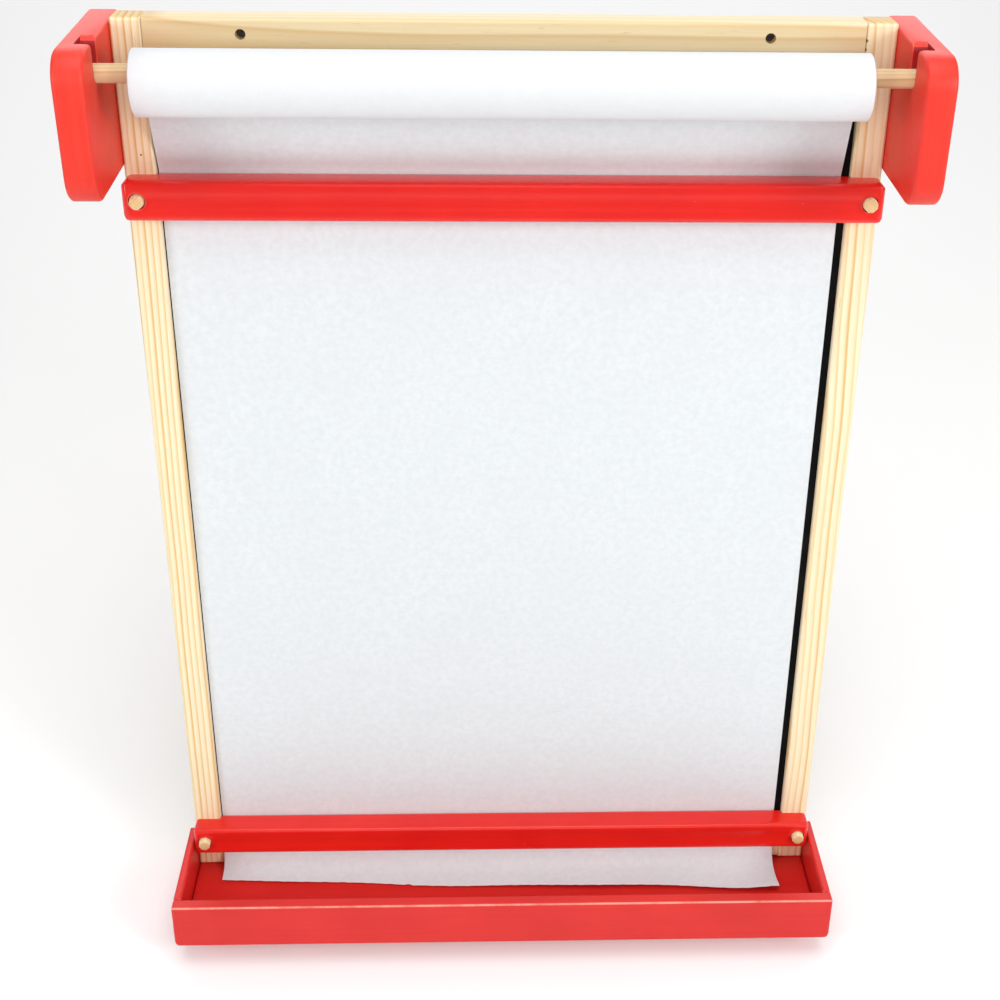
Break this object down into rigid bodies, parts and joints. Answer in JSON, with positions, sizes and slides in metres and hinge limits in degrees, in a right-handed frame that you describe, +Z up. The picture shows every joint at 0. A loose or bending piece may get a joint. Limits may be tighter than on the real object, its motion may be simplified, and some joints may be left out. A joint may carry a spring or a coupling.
{
  "type": "wooden artist easel",
  "caption": "Tabletop easel: pine frame with a chalkboard, a paper roll on a dowel between red brackets, red clamp bars on pins, a red tray and a folding rear leg frame.",
  "frame": {"origin": "centre of the footprint on the table, under the middle of the easel's bounding box", "axes": "+X to the easel's right as seen from behind it and to the viewer's right from the front, +Y from the front to the rear legs, +Z up"},
  "size_m": [0.431, 0.335, 0.5505],
  "materials": {
    "pine": "sanded, clear sealed",
    "dowel_wood": "bare",
    "red_paint": "satin paint on wood",
    "blackboard": "matte chalkboard paint on fibreboard",
    "paper": "matte paper",
    "cardboard": "matte",
    "zinc_steel": "zinc plated",
    "dark_steel": "dark, recessed"
  },
  "bodies": {
    "board": {"left_stile": "pine", "right_stile": "pine", "top_rail": "pine", "bottom_rail": "pine", "frame_dowels": "dowel_wood", "chalkboard_panel": "blackboard", "left_roll_bracket": "red_paint", "right_roll_bracket": "red_paint", "bracket_screws": "zinc_steel", "rail_screws": "dark_steel", "left_hinge_block": "pine", "right_hinge_block": "pine", "pivot_bolts": "zinc_steel", "pivot_washers": "zinc_steel", "upper_bar_pins": "dowel_wood", "lower_bar_pins": "dowel_wood", "paper_sheet": "paper", "tray_front": "red_paint", "tray_left_side": "red_paint", "tray_right_side": "red_paint", "tray_floor": "red_paint", "tray_nails": "zinc_steel", "tray_screws": "zinc_steel"},
    "roll_dowel": {"roll_dowel": "dowel_wood"},
    "paper_roll": {"roll_core": "cardboard", "paper_roll": "paper"},
    "upper_bar": {"upper_clamp_bar": "red_paint"},
    "lower_bar": {"lower_clamp_bar": "red_paint"},
    "rear_leg": {"left_rear_leg": "pine", "right_rear_leg": "pine", "leg_lower_rail": "pine", "leg_upper_rail": "pine", "leg_screws": "zinc_steel"}
  },
  "joints": [
    {"name": "roll_dowel_lift", "type": "slide", "parent": "board", "child": "roll_dowel", "axis": [0, 0.2079, 0.9781], "range_m": [0, 0.045]},
    {"name": "paper_roll_spin", "type": "hinge", "parent": "roll_dowel", "child": "paper_roll", "pos_m": [-0.0018, -0.02434, 0.52748], "axis": [1, 0, 0], "continuous": true},
    {"name": "upper_bar_off", "type": "slide", "parent": "board", "child": "upper_bar", "axis": [0, -0.9781, 0.2079], "range_m": [0, 0.025]},
    {"name": "lower_bar_off", "type": "slide", "parent": "board", "child": "lower_bar", "axis": [0, -0.9781, 0.2079], "range_m": [0, 0.025]},
    {"name": "rear_leg_fold", "type": "hinge", "parent": "board", "child": "rear_leg", "pos_m": [0, 0.03791, 0.52263], "axis": [1, 0, 0], "range_deg": [-25, 0]}
  ]
}
